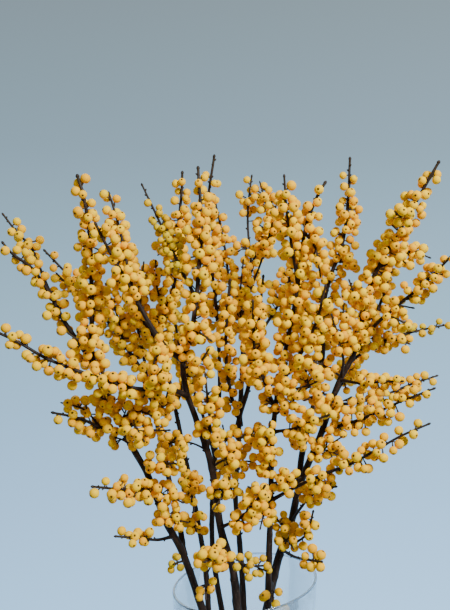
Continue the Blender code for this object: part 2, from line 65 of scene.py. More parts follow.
# Every shoot: what it grows from, its thickness at the foot and the tip, the berry-laden length,
# the bare length at the tip, how far the berries reach from the wood, and its route from the foot
# to the tip. The first shoot of each branch is the one that stands in the vase.
BRANCHES = {
    "far_left": {
        "stem": (None, 11.4, 3.0, 175, 7, 13, (
            (42, -14, 15), (9, -12, 115), (-26, -9, 218), (-60, -10, 325), (-80, -18, 370), (-97, -25, 420),
            (-117, -35, 462), (-133, -42, 505), (-146, -50, 537), (-146, -53, 595), (-146, -56, 650),
            (-150, -60, 690), (-156, -60, 712))),
        "outer": ("stem", 5.2, 2.4, 105, 5, 11, (
            (-146, -50, 537), (-160, -46, 556), (-177, -40, 580), (-191, -32, 604), (-208, -26, 626),
            (-228, -20, 640), (-238, -15, 650))),
        "outer_top": ("outer", 3.6, 2.0, 50, 9, 9, (
            (-188, -33, 600), (-199, -18, 618), (-214, -4, 646), (-230, 4, 662), (-243, 8, 678))),
        "low_arm": ("stem", 3.8, 2.2, 66, 2, 13, (
            (-121, -37, 468), (-138, -50, 474), (-158, -62, 486), (-180, -70, 493))),
        "front_arm": ("stem", 3.8, 2.2, 82, 2, 12, (
            (-82, -19, 376), (-94, -42, 408), (-116, -72, 420), (-140, -95, 430))),
        "lowest_arm": ("stem", 3.6, 2.0, 42, 2, 10, (
            (-72, -14, 352), (-88, -32, 356), (-106, -48, 364), (-124, -60, 370))),
        "inner": ("stem", 6.6, 2.4, 165, 3, 13, (
            (-63, -11, 331), (-68, 6, 362), (-84, 20, 424), (-97, 34, 480), (-111, 45, 516),
            (-132, 52, 545), (-152, 58, 572), (-176, 62, 600), (-197, 66, 622), (-214, 66, 640))),
        "behind": ("inner", 4.3, 2.2, 100, 4, 13, (
            (-99, 36, 486), (-108, 66, 520), (-118, 88, 556), (-124, 98, 596), (-126, 104, 630))),
    },
    "left": {
        "stem": (None, 8.2, 2.6, 180, 6, 12, (
            (-22, -30, 14), (-29, -4, 130), (-35, 16, 215), (-41, 31, 300), (-52, 38, 365), (-65, 41, 432),
            (-80, 44, 505), (-91, 46, 553), (-82, 44, 580), (-72, 45, 616), (-70, 45, 660),
            (-66, 50, 700), (-65, 50, 722))),
        "side": ("stem", 3.8, 2.2, 95, 3, 12, (
            (-88, 45, 540), (-108, 30, 574), (-117, 22, 612), (-122, 18, 650))),
    },
    "tall_back": {
        "stem": (None, 8.2, 2.6, 175, 13, 12, (
            (20, 46, 14), (0, 46, 120), (-19, 48, 220), (-34, 54, 320), (-31, 66, 410),
            (-26, 74, 490), (-29, 80, 570), (-37, 83, 640), (-39, 85, 690), (-32, 85, 742))),
        "back_side": ("stem", 4.3, 2.2, 110, 4, 13, (
            (-31, 66, 414), (-48, 96, 462), (-66, 118, 504), (-76, 128, 545), (-80, 132, 585))),
    },
    "centre": {
        "stem": (None, 12.0, 2.8, 165, 15, 12, (
            (8, -42, 15), (3, -38, 130), (-4, -33, 230), (-10, -34, 312), (-17, -38, 345),
            (-25, -41, 375), (-33, -45, 434), (-46, -49, 477), (-57, -50, 510), (-60, -51, 541),
            (-52, -50, 567), (-46, -42, 612), (-43, -30, 670), (-46, -22, 722))),
        "left_arm": ("stem", 5.5, 2.4, 72, 4, 13, (
            (-60, -51, 541), (-74, -62, 552), (-92, -68, 580), (-110, -72, 616), (-126, -78, 646),
            (-136, -84, 668))),
        "left_fork": ("left_arm", 3.4, 2.0, 62, 4, 10, (
            (-104, -71, 604), (-113, -54, 636), (-120, -42, 664), (-130, -38, 697))),
        "behind": ("stem", 3.6, 2.0, 90, 20, 10, (
            (-47, -45, 598), (-62, -28, 624), (-80, -2, 660), (-94, 12, 688), (-104, 20, 708))),
        "front_arm": ("stem", 4.8, 2.4, 162, 4, 12, (
            (-55, -50, 504), (-72, -64, 514), (-101, -80, 518), (-128, -92, 528), (-152, -100, 538),
            (-178, -106, 550), (-200, -110, 564), (-223, -112, 576))),
        "low_front": ("stem", 3.2, 2.0, 34, 2, 12, (
            (-18, -39, 348), (-24, -56, 352), (-32, -74, 354), (-38, -92, 358))),
        "low_right": ("stem", 3.4, 2.0, 52, 2, 12, (
            (-24, -41, 372), (-6, -54, 386), (8, -62, 403), (17, -68, 421))),
        "right_knee": ("stem", 3.4, 2.0, 66, 2, 11, (
            (-38, -46, 450), (-34, -64, 476), (-36, -76, 504), (-38, -80, 530))),
    },
    "centre_back": {
        "stem": (None, 9.6, 2.6, 112, 5, 13, (
            (4, 12, 14), (3, 13, 130), (0, 15, 262), (-5, 15, 340), (-9, 12, 386), (-6, 10, 436),
            (-6, 9, 470), (-14, 4, 496), (-19, -2, 536), (-18, -6, 580), (-15, -8, 612))),
        "right_arm": ("stem", 5.5, 2.4, 108, 4, 12, (
            (-6, 9, 470), (3, 3, 500), (8, -4, 535), (14, -8, 575), (18, -8, 616))),
        "back_arm": ("stem", 6.0, 2.2, 130, 6, 12, (
            (-6, 10, 462), (-2, 44, 505), (0, 66, 545), (4, 86, 590), (14, 98, 636), (26, 104, 672),
            (34, 108, 700))),
        "back_tip": ("back_arm", 3.2, 2.0, 46, 5, 10, (
            (10, 94, 622), (6, 104, 660), (6, 110, 690), (10, 114, 722))),
        "back_left": ("back_arm", 3.8, 2.0, 84, 5, 11, (
            (1, 74, 562), (-14, 96, 600), (-19, 106, 636), (-24, 110, 662), (-30, 112, 690))),
        "rear_arm": ("back_arm", 4.1, 2.2, 100, 4, 13, (
            (-1, 56, 526), (22, 90, 552), (44, 112, 584), (58, 124, 622), (64, 130, 656))),
    },
    "inner_right": {
        "stem": (None, 9.6, 2.6, 185, 6, 12, (
            (26, -36, 14), (25, -27, 120), (23, -16, 220), (25, -14, 335), (26, -16, 378), (27, -20, 450),
            (31, -24, 496), (36, -27, 530), (44, -28, 570), (51, -30, 612), (57, -30, 662),
            (68, -28, 694), (76, -26, 708))),
        "top_fork": ("stem", 3.4, 2.0, 72, 5, 11, (
            (51, -30, 612), (44, -46, 644), (38, -54, 678), (35, -58, 712))),
        "left_side": ("stem", 3.8, 2.2, 92, 4, 12, (
            (30, -23, 488), (18, -44, 518), (8, -56, 552), (6, -62, 596))),
        "right_side": ("stem", 3.6, 2.2, 84, 4, 12, (
            (33, -25, 510), (50, -44, 540), (66, -54, 576), (74, -58, 610))),
        "low_arm": ("stem", 4.1, 2.0, 130, 4, 9, (
            (27, -17, 392), (50, -32, 410), (76, -46, 427), (102, -56, 441), (128, -62, 458),
            (146, -66, 470), (170, -70, 482))),
        "knee": ("stem", 3.4, 2.0, 50, 2, 11, (
            (28, -21, 464), (48, -44, 472), (62, -58, 482), (76, -68, 490))),
    },
    "right": {
        "stem": (None, 12.4, 2.8, 200, 9, 12, (
            (-38, 34, 15), (-12, 30, 110), (14, 25, 210), (36, 22, 312), (50, 20, 356), (57, 17, 392),
            (66, 14, 418), (80, 10, 455), (96, 9, 505), (111, 8, 535), (118, 4, 562), (120, 0, 590),
            (130, -10, 622), (147, -16, 655), (163, -22, 686), (184, -30, 727))),
        "tall_fork": ("stem", 7.2, 2.6, 190, 13, 12, (
            (57, 17, 392), (62, 26, 432), (72, 32, 470), (79, 36, 502), (84, 40, 536), (82, 44, 570),
            (92, 48, 614), (104, 51, 645), (110, 52, 690), (112, 55, 737))),
        "tall_side": ("tall_fork", 3.6, 2.2, 92, 4, 12, (
            (82, 39, 520), (70, 56, 556), (64, 62, 598), (66, 64, 640))),
        "left_twig": ("stem", 3.2, 2.0, 40, 2, 10, (
            (100, 8, 514), (98, -14, 536), (90, -26, 560), (84, -32, 580))),
        "high_arm": ("stem", 4.1, 2.2, 62, 3, 11, (
            (114, 6, 546), (134, -14, 574), (156, -26, 596), (178, -36, 618), (198, -44, 642))),
        "thin_arm": ("stem", 3.2, 2.0, 60, 8, 8, (
            (108, 8, 530), (132, 22, 542), (164, 36, 552), (192, 44, 558), (221, 50, 563))),
        "middle_arm": ("stem", 3.8, 2.0, 108, 4, 10, (
            (80, 10, 455), (108, -10, 470), (128, -24, 482), (150, -36, 496), (180, -46, 511))),
        "back_arm": ("stem", 3.8, 2.0, 100, 4, 9, (
            (90, 9, 484), (114, 26, 482), (148, 44, 486), (182, 58, 496), (212, 70, 503))),
        "short_arm": ("stem", 3.2, 2.0, 44, 2, 10, (
            (99, 8, 511), (116, -10, 510), (134, -24, 514), (152, -32, 516))),
        "low_twig": ("stem", 3.4, 2.0, 44, 2, 12, (
            (50, 20, 358), (62, -6, 386), (72, -24, 404), (88, -38, 412))),
        "lower_twig": ("stem", 3.2, 2.0, 42, 2, 10, (
            (42, 21, 330), (54, 4, 340), (64, -12, 356), (68, -26, 382))),
        "lowest_twig": ("stem", 3.4, 2.0, 40, 2, 12, (
            (40, 21, 324), (50, -20, 334), (58, -62, 348), (68, -102, 362))),
        "rear_arm": ("stem", 4.3, 2.2, 105, 4, 13, (
            (84, 10, 466), (98, 46, 486), (120, 82, 512), (136, 104, 546), (142, 114, 580))),
        "rear_side": ("stem", 4.1, 2.2, 100, 4, 12, (
            (113, 7, 541), (134, 26, 568), (150, 40, 606), (162, 50, 650))),
    },
}

# Short side spurs, in the same terms. They are too small for nodes of their own.
SPURS = {
    "far_left": {
        "spur_rim": ("stem", 2.4, 1.6, 14, 1, 9, ((-50, -9, 294), (-40, -32, 309), (-39, -42, 301))),
        "spur_low": ("stem", 2.2, 1.4, 12, 1, 9, ((-60, -10, 325), (-67, -20, 328), (-71, -32, 331))),
        "spur_mid": ("stem", 2.6, 1.6, 34, 1, 13, ((-90, -22, 400), (-76, -40, 404), (-62, -54, 402))),
        "spur_bend": ("stem", 2.6, 1.6, 34, 1, 12, ((-83, -20, 382), (-72, -40, 381), (-58, -48, 380))),
        "spur_knee": ("stem", 2.6, 1.6, 40, 1, 13, ((-99, -26, 425), (-83, -44, 437), (-60, -56, 440))),
        "spur_high": ("stem", 2.4, 1.6, 12, 1, 9, ((-112, -32, 452), (-118, -44, 460), (-124, -50, 464))),
        "twig_front": ("stem", 2.8, 1.6, 46, 1, 14, ((-112, -32, 451), (-94, -54, 471), (-74, -64, 475))),
        "twig_near": ("stem", 2.8, 1.6, 44, 1, 14, ((-119, -36, 466), (-106, -66, 480), (-96, -80, 470))),
        "twig_mid": ("stem", 2.8, 1.6, 46, 1, 14, ((-123, -38, 479), (-103, -58, 492), (-86, -66, 488))),
        "twig_high": ("stem", 2.6, 1.6, 32, 1, 13, ((-130, -42, 498), (-134, -62, 504), (-139, -70, 511))),
        "twig_side": ("stem", 2.4, 1.6, 26, 1, 12, ((-147, -52, 554), (-155, -66, 560), (-164, -70, 567))),
        "arm_up": ("low_arm", 2.2, 1.4, 30, 1, 11, ((-141, -46, 477), (-154, -56, 493), (-173, -60, 500))),
        "inner_low": ("inner", 2.6, 1.6, 34, 1, 13, ((-86, 22, 432), (-78, -4, 444), (-70, -20, 456))),
        "inner_mid": ("inner", 2.6, 1.6, 40, 1, 13, ((-94, 31, 468), (-84, 2, 482), (-78, -14, 500))),
        "inner_twig": ("inner", 2.6, 1.6, 66, 1, 12, ((-129, 50, 542), (-133, 34, 573), (-143, 24, 606))),
        "inner_tip": ("inner", 2.4, 1.6, 30, 1, 11, ((-176, 62, 600), (-186, 44, 606), (-195, 34, 617))),
    },
    "left": {
        "spur_low": ("stem", 2.4, 1.6, 34, 1, 13, ((-64, 41, 426), (-70, 12, 436), (-74, -6, 446))),
        "spur_mid": ("stem", 2.4, 1.6, 34, 1, 12, ((-74, 43, 478), (-66, 18, 492), (-64, 4, 508))),
        "spur_knee": ("stem", 2.4, 1.6, 38, 1, 12, ((-60, 39, 398), (-55, 14, 398), (-54, -6, 388))),
        "spur_gap": ("stem", 2.4, 1.6, 30, 1, 12, ((-58, 36, 369), (-53, -4, 366), (-49, -24, 363))),
        "spur_top": ("stem", 2.2, 1.4, 18, 1, 10, ((-69, 40, 653), (-79, 26, 645), (-87, 20, 639))),
        "side_twig": ("side", 2.4, 1.6, 30, 1, 11, ((-108, 30, 574), (-106, 10, 602), (-102, 2, 629))),
        "stem_twig": ("stem", 2.4, 1.6, 46, 1, 11, ((-80, 44, 581), (-90, 26, 601), (-91, 18, 630))),
    },
    "tall_back": {
        "spur_low": ("stem", 2.4, 1.6, 34, 1, 12, ((-31, 64, 400), (-20, 40, 412), (-14, 24, 426))),
    },
    "centre": {
        "spur_rim": ("stem", 2.4, 1.6, 26, 1, 12, ((-13, -34, 350), (-25, -56, 354), (-36, -66, 338))),
        "spur_twig": ("stem", 2.2, 1.4, 10, 1, 8, ((-38, -46, 452), (-50, -56, 460), (-62, -62, 464))),
        "spur_right": ("stem", 2.2, 1.6, 16, 1, 10, ((-30, -44, 434), (-20, -52, 444), (-12, -58, 452))),
        "spur_front": ("stem", 2.4, 1.6, 26, 1, 12, ((-30, -44, 419), (-22, -62, 413), (-30, -71, 402))),
        "spur_fork": ("stem", 2.4, 1.6, 26, 1, 11, ((-59, -51, 532), (-44, -66, 540), (-36, -72, 552))),
        "spur_high": ("stem", 2.4, 1.6, 26, 1, 11, ((-53, -50, 565), (-43, -70, 568), (-34, -76, 563))),
        "arm_low": ("left_arm", 2.8, 1.6, 40, 1, 14, ((-75, -64, 554), (-83, -84, 548), (-86, -92, 536))),
        "arm_root": ("front_arm", 2.8, 1.6, 42, 1, 14, ((-81, -69, 516), (-82, -90, 530), (-73, -98, 543))),
    },
    "centre_back": {
        "spur_rim": ("stem", 2.2, 1.6, 13, 1, 8, ((-1, 14, 308), (8, -12, 321), (20, -26, 322))),
        "tip_side": ("back_arm", 2.4, 1.4, 32, 1, 12, ((30, 104, 678), (24, 98, 697), (19, 94, 714))),
        "spur_join": ("stem", 2.2, 1.4, 16, 1, 10, ((-5, 10, 440), (-5, -14, 453), (-2, -26, 459))),
        "spur_arm": ("stem", 2.2, 1.4, 16, 1, 9, ((-4, 20, 474), (-11, 2, 486), (-15, -8, 492))),
        "spur_front": ("stem", 2.2, 1.6, 22, 1, 11, ((-9, 12, 414), (-1, -16, 431), (7, -26, 434))),
        "spur_back": ("back_arm", 2.2, 1.4, 14, 1, 10, ((14, 70, 642), (2, 50, 644), (-4, 44, 642))),
        "spur_low": ("stem", 2.2, 1.6, 28, 1, 11, ((-9, 12, 388), (-14, -4, 400), (-16, -16, 414))),
        "spur_mid": ("stem", 2.4, 1.6, 32, 1, 12, ((-6, 10, 452), (8, -12, 456), (24, -26, 458))),
        "spur_left": ("stem", 2.4, 1.6, 28, 1, 11, ((-6, 10, 440), (-18, -6, 450), (-22, -14, 466))),
        "back_twig": ("back_arm", 2.8, 1.6, 86, 1, 13, ((-1, 48, 550), (-4, 40, 590), (-1, 36, 630))),
        "back_side": ("back_arm", 2.8, 1.6, 58, 1, 13, ((5, 66, 592), (22, 52, 640), (34, 44, 690))),
    },
    "inner_right": {
        "spur_green": ("stem", 2.2, 1.4, 22, 1, 8, ((23, -14, 322), (4, -38, 332), (-8, -50, 342))),
        "spur_bend": ("stem", 2.4, 1.6, 34, 1, 12, ((26, -16, 385), (17, -34, 400), (4, -44, 413))),
        "spur_side": ("stem", 2.4, 1.6, 34, 1, 12, ((27, -18, 409), (38, -38, 418), (51, -48, 424))),
        "spur_front": ("stem", 2.6, 1.6, 66, 1, 13, ((26, -18, 419), (20, -40, 448), (23, -50, 478))),
        "spur_high": ("stem", 2.4, 1.6, 34, 1, 12, ((30, -23, 482), (44, -42, 496), (52, -52, 512))),
        "spur_twig": ("stem", 2.2, 1.4, 12, 1, 9, ((34, -25, 504), (60, -44, 514), (80, -50, 526))),
        "spur_knee": ("stem", 2.6, 1.6, 40, 1, 13, ((32, -24, 498), (38, -42, 517), (39, -52, 536))),
        "top_twig": ("stem", 2.4, 1.6, 42, 1, 12, ((57, -30, 662), (66, -44, 646), (70, -50, 622))),
        "spur_arm": ("stem", 2.2, 1.4, 18, 1, 10, ((31, -20, 487), (24, -36, 495), (19, -44, 496))),
        "spur_hang": ("stem", 2.2, 1.6, 22, 1, 11, ((24, -18, 392), (19, -34, 385), (15, -42, 373))),
    },
    "right": {
        "spur_rim": ("stem", 2.2, 1.6, 14, 1, 8, ((31, 22, 290), (30, -4, 295), (28, -26, 291))),
        "spur_low": ("stem", 2.4, 1.6, 28, 1, 12, ((43, 22, 330), (45, -4, 345), (49, -14, 341))),
        "spur_mouth": ("stem", 2.4, 1.6, 24, 1, 11, ((47, 21, 344), (39, 2, 358), (34, -8, 368))),
        "spur_fork": ("stem", 2.4, 1.6, 32, 1, 12, ((68, 12, 427), (80, -12, 442), (95, -22, 439))),
        "spur_mid": ("stem", 2.4, 1.6, 42, 1, 13, ((84, 10, 464), (92, -10, 487), (104, -20, 497))),
        "fork_low": ("tall_fork", 2.4, 1.6, 28, 1, 12, ((62, 26, 430), (59, 6, 448), (63, -2, 460))),
        "fork_mid": ("tall_fork", 2.4, 1.6, 32, 1, 12, ((76, 34, 488), (66, 14, 506), (62, 4, 522))),
        "stem_twig": ("stem", 2.6, 1.6, 30, 1, 13, ((120, 0, 590), (108, -18, 600), (102, -24, 613))),
        "spur_fruit": ("high_arm", 2.4, 1.6, 22, 1, 12, (
            (131, -20, 577), (148, -24, 589), (162, -28, 588))),
        "spur_big": ("thin_arm", 2.4, 1.6, 30, 1, 13, ((133, 22, 542), (122, -6, 559), (112, -18, 563))),
        "spur_inner": ("stem", 2.4, 1.6, 26, 1, 12, ((98, 8, 514), (81, -16, 528), (64, -22, 535))),
        "fork_peak": ("tall_fork", 2.2, 1.4, 18, 1, 10, ((99, 60, 629), (108, 42, 628), (113, 34, 622))),
        "spur_arch": ("stem", 2.4, 1.6, 30, 1, 11, ((91, 4, 492), (75, -14, 500), (60, -24, 496))),
        "spur_knuckle": ("stem", 2.4, 1.6, 24, 1, 11, ((68, 12, 427), (84, -12, 446), (95, -22, 457))),
        "tip_side": ("stem", 2.2, 1.4, 16, 1, 10, ((158, -40, 683), (146, -52, 677), (140, -56, 679))),
        "twig_left": ("stem", 2.6, 1.6, 52, 1, 12, ((107, 5, 540), (97, -16, 562), (96, -26, 590))),
        "arm_spur": ("high_arm", 2.4, 1.6, 26, 1, 11, ((136, -16, 576), (146, -32, 578), (157, -38, 571))),
        "arm_low": ("thin_arm", 2.4, 1.6, 36, 1, 10, ((133, 22, 542), (149, 8, 552), (165, 0, 549))),
        "stem_side": ("stem", 2.6, 1.6, 46, 1, 12, ((126, -6, 612), (140, 6, 634), (146, 10, 656))),
        "stem_arm": ("stem", 2.8, 1.6, 58, 1, 11, (
            (132, -11, 626), (153, -4, 633), (168, 4, 642), (186, 8, 636))),
    },
}

# How full the berries sit on a shoot, where it isn't 1.
FULLNESS = {
    "far_left outer": 0.55, "far_left outer_top": 0.5, "far_left lowest_arm": 0.32,
    "far_left low_arm": 0.55, "far_left inner": 1.1, "far_left front_arm": 0.8,
    "left stem": 0.85, "tall_back stem": 0.75, "centre stem": 0.85, "centre behind": 0.75,
    "centre_back back_arm": 0.85, "centre_back back_tip": 0.25, "centre_back right_arm": 0.7,
    "centre_back rear_arm": 0.85, "centre_back stem": 0.65, "inner_right low_arm": 0.36,
    "right thin_arm": 0.35, "right high_arm": 0.7, "right middle_arm": 0.6, "right back_arm": 0.6,
    "right short_arm": 0.45, "right lower_twig": 0.45, "right lowest_twig": 0.42, "right rear_side": 0.8,
    "centre spur_twig": 0.5, "inner_right spur_twig": 0.4, "inner_right spur_green": 0.5,
    "centre_back spur_rim": 0.9, "right spur_rim": 0.4, "far_left spur_rim": 0.7,
    "far_left spur_low": 0.5, "far_left twig_front": 0.9, "right spur_mouth": 0.6,
    "right stem": 0.9, "right tall_fork": 0.9, "left spur_low": 0.8, "inner_right spur_bend": 0.8,
}

# Over what length in millimetres the berries thin out at a tip, where it isn't the usual one.
THIN_ENDS = {
    "centre front_arm": 75, "far_left stem": 34, "left stem": 50, "tall_back stem": 50,
    "inner_right stem": 44, "inner_right top_fork": 25, "right stem": 46, "right tall_fork": 50,
}

# Shoots whose berries are smaller and not quite ripe.
GREENISH = {
    "right thin_arm", "centre behind", "inner_right spur_green", "far_left spur_low",
    "centre_back spur_rim",
}

# Vase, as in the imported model
VASE_HEIGHT = 300 * MM
VASE_TOP_RADIUS = 75 * MM
VASE_FOOT_RADIUS = 62 * MM
VASE_WALL = 3 * MM
VASE_BASE = 10 * MM
RIM_SLOPE = 0.117
FOOT_ROUND = 4 * MM
INSIDE_ROUND = 6 * MM
VASE_SIDES = 128
WALL_LEVELS = 8
ROUND_STEPS = 6
LIP_STEPS = 10
GLASS_COLOUR = (1.0, 1.0, 1.0)
GLASS_ALPHA = 0.45
# The lip's colour is a painted shade: the dark grey-blue edge that light bending round inside a clear glass
# rim gives
LIP_PAINTED_SHADE = (0.24, 0.31, 0.38)
LIP_PAINTED_SHADE_ALPHA = 0.92
GLASS_IOR = 1.45

# Wood
FINE_STEP = 3 * MM
RING_STEP = 3.2 * MM
STEM_SIDES = 12
SHOOT_SIDES = 8
KNOT_GAP = 24 * MM
KNOT_REACH = 2.4 * MM
KNOT_SWELL = 0.16
COLLAR_START = 2 * MM
COLLAR_REACH = 4 * MM
COLLAR_SWELL = 0.45
WOBBLE_GAP = 16 * MM
WOBBLE = 0.10
YOUNG_REACH = 60 * MM
SAWN_MIDDLE = 0.4
SAWN_EDGE = 0.86
TIP_BUD = ((0.7, 1.25), (1.6, 1.3), (2.6, 0.95), (3.4, 0.45))
BUD_GAP = 11 * MM
BUD_LENGTH = 3.0 * MM
BUD_WIDTH = 1.7 * MM
CLOSE_BUDS = 20 * MM

# Berries
BERRY_RADIUS = 4.75 * MM
GREEN_RADIUS = 4.0 * MM
NODE_GAP = 4.0 * MM
BERRIES_AT_NODE = 4.6
SHORT_STALK = 1.4 * MM
LONG_STALK = 8.0 * MM
THIN_END = 60 * MM
STALK_STEP = 0.8 * MM
STALK_ROOT = 0.5 * MM
STALK_HOLD = 0.9 * MM
STALK_FOOT = 0.5 * MM
STALK_HEAD = 0.95 * MM
STALK_SIDES = 5
PRESS = 0.93
BERRY_AROUND = 10
BERRY_UP = 6
BERRY_HEIGHT = 0.95
GOLDEN_TURN = math.radians(137.5)
SIDE = Vector((0.92, 0.39, 0.0))

# Colours, as the share of red, green and blue light that comes back
AMBER_TINTS = [(0.0, (0.91, 0.43, 0.0)), (0.2, (0.96, 0.51, 0.0)), (0.6, (0.98, 0.605, 0.0)),
               (0.92, (0.98, 0.675, 0.0)), (1.0, (0.86, 0.62, 0.002))]
GREEN_TINTS = [(0.0, (0.74, 0.44, 0.006)), (0.5, (0.74, 0.52, 0.012)), (1.0, (0.50, 0.44, 0.014))]
AMBER_SHADE = (0.88, 0.38, 0.0)
GREEN_SHADE = (0.74, 0.38, 0.004)
FRECKLE_COLOUR = (0.95, 0.62, 0.01)
STALK_END_COLOUR = (0.30, 0.20, 0.01)
HALO_COLOUR = (0.50, 0.17, 0.004)
DOT_COLOUR = (0.030, 0.014, 0.008)
SHEEN_TINT = (1.0, 0.78, 0.30, 1.0)
BARK_TINTS = [(0.0, (0.004, 0.0016, 0.0008)), (0.55, (0.011, 0.005, 0.003)), (1.0, (0.040, 0.021, 0.013))]
PATCH_COLOUR = (0.034, 0.020, 0.013)
PORE_COLOUR = (0.11, 0.075, 0.05)
YOUNG_COLOUR = (0.070, 0.045, 0.014)
SAWN_DARK = (0.50, 0.40, 0.25)
SAWN_PALE = (0.62, 0.53, 0.36)
FLOOR_DARK = (0.52, 0.60, 0.66)
FLOOR_PALE = (0.55, 0.63, 0.69)

# Sizes of the mottling, in repeats to a metre
BLOTCH_SCALE = 130.0
FRECKLE_SCALE = 900.0
STREAK_SCALE = 420.0
PATCH_SCALE = 70.0
PORE_SCALE = 330.0
FLOOR_SCALE = 6.0

# Stage: each light's place, width and watts, and the camera
FLOOR_RADIUS = 0.6
FLOOR_DROP = 0.5 * MM
FLOOR_FADE = (0.56, 0.26)
LIGHT_AIM = (0, 0, 0.5)
LIGHTS = {
    "key": ((0.95, -1.25, 1.75), 0.6, 70),
    "fill": ((-1.3, -1.1, 0.9), 1.4, 3),
    "back": ((-0.6, 1.6, 1.3), 1.2, 8),
}
BEHIND_TINTS = [(0.27, (0.62, 1.16, 1.78)), (0.35, (0.52, 0.93, 1.40)), (0.455, (0.42, 0.70, 0.92)),
                (0.545, (0.32, 0.475, 0.59)), (0.63, (0.285, 0.375, 0.43)), (1.0, (0.45, 0.50, 0.54))]
AHEAD_TINTS = [(0.25, (0.17, 0.17, 0.17)), (0.5, (0.17, 0.17, 0.17)), (1.0, (0.40, 0.40, 0.40))]
BACKDROP_TURN = (-0.15, 0.55)
BACKDROP_LEAN = 0.28
CAMERA_PLACE = (-0.020, -0.851, 0.667)
CAMERA_PITCH = math.radians(5.3)
CAMERA_LENS = 50
CAMERA_SENSOR = 36


# ---- The bunch's skeleton ----------------------------------------------------------------------

class Shoot:
    """One shoot with its smooth centre line and the stretch that carries berries."""

    def __init__(self, branch, name, spec, parent):
        self.branch = branch
        self.name = name
        self.label = f"{branch} {name}"
        self.parent = parent
        grows_from, foot, tip, laden, bare_tip, reach, route = spec
        anchors = [np.array(point, float) * MM for point in route]
        if parent is not None:
            anchors[0] = parent.nearest(anchors[0])
        self.line = even_line(anchors, FINE_STEP)
        self.length = float(np.linalg.norm(np.diff(self.line, axis=0), axis=1).sum())
        self.foot = foot / 2 * MM
        self.tip = tip / 2 * MM
        self.laden_from = max(0.0, self.length - (laden + bare_tip) * MM)
        self.laden_to = self.length - bare_tip * MM
        self.reach = reach * MM

    def nearest(self, point):
        """The point on the centre line nearest to a given one."""
        return self.line[np.argmin(np.linalg.norm(self.line - point, axis=1))]

    def at(self, distance):
        """The centre-line point at a distance from the foot."""
        share = min(max(distance / self.length, 0.0), 1.0) * (len(self.line) - 1)
        low = min(int(share), len(self.line) - 2)
        return Vector(self.line[low] + (self.line[low + 1] - self.line[low]) * (share - low))

    def heading(self, distance):
        """The unit direction of growth at a distance from the foot."""
        return (self.at(distance + FINE_STEP) - self.at(distance - FINE_STEP)).normalized()

    def radius(self, distance):
        """The wood's radius, which tapers evenly from foot to tip."""
        return self.foot + (self.tip - self.foot) * min(max(distance / self.length, 0.0), 1.0)


def even_line(anchors, step):
    """Evenly spaced points on a smooth curve through the anchors (Catmull-Rom)."""
    first = 2 * anchors[0] - anchors[1]
    last = 2 * anchors[-1] - anchors[-2]
    padded = [first, *anchors, last]
    dense = []
    for before, start, end, after in zip(padded, padded[1:], padded[2:], padded[3:]):
        for t in np.linspace(0, 1, 12, endpoint=False):
            dense.append(0.5 * (2 * start + (end - before) * t
                                + (2 * before - 5 * start + 4 * end - after) * t ** 2
                                + (3 * start - before - 3 * end + after) * t ** 3))
    dense.append(anchors[-1])
    dense = np.array(dense)
    run = np.concatenate([[0], np.cumsum(np.linalg.norm(np.diff(dense, axis=0), axis=1))])
    places = np.linspace(0, run[-1], max(3, int(round(run[-1] / step)) + 1))
    return np.array([[np.interp(place, run, dense[:, axis]) for axis in range(3)] for place in places])


def cross_frame(heading, side=SIDE):
    """Two unit directions across a heading, the first as close to side as can be."""
    across = (side - heading * side.dot(heading)).normalized()
    return across, heading.cross(across)


def grow_bunch():
    """All shoots and spurs, branch by branch, each starting on the wood it grows from."""
    grown = {}
    for branch, specs in BRANCHES.items():
        made = {}
        for name, spec in {**specs, **SPURS.get(branch, {})}.items():
            made[name] = Shoot(branch, name, spec, made.get(spec[0]))
        grown[branch] = list(made.values())
    return grown


# ---- Where each berry hangs --------------------------------------------------------------------

class Crowd:
    """Balls already placed, sorted into cells, so that a new berry finds a free place."""

    def __init__(self, cell=11 * MM):
        self.cell = cell
        self.cells = {}

    def key(self, point):
        return tuple(int(math.floor(value / self.cell)) for value in point)

    def add(self, centre, radius):
        self.cells.setdefault(self.key(centre), []).append((centre, radius))

    def has_room(self, centre, radius):
        x, y, z = self.key(centre)
        for i in (x - 1, x, x + 1):
            for j in (y - 1, y, y + 1):
                for k in (z - 1, z, z + 1):
                    for other, size in self.cells.get((i, j, k), ()):
                        if (other - centre).length < (radius + size) * PRESS:
                            return False
        return True


class Berry:
    """One berry: where its stalk leaves the wood, which way it points, and its own size and tint."""

    def __init__(self, foot, direction, stalk, radius, tint):
        self.foot = foot
        self.direction = direction
        self.stalk = stalk
        self.radius = radius
        self.tint = tint
        self.centre = foot + direction * (stalk + radius * 0.97)


def clears_vase(centre, radius):
    """Whether a ball keeps off the vase's wall and rim."""
    if centre.z > VASE_HEIGHT + RIM_SLOPE * centre.x + radius:
        return True
    out = math.hypot(centre.x, centre.y)
    wall = wall_radius(centre.z)
    return out + radius < wall - VASE_WALL - MM or out - radius > wall + MM


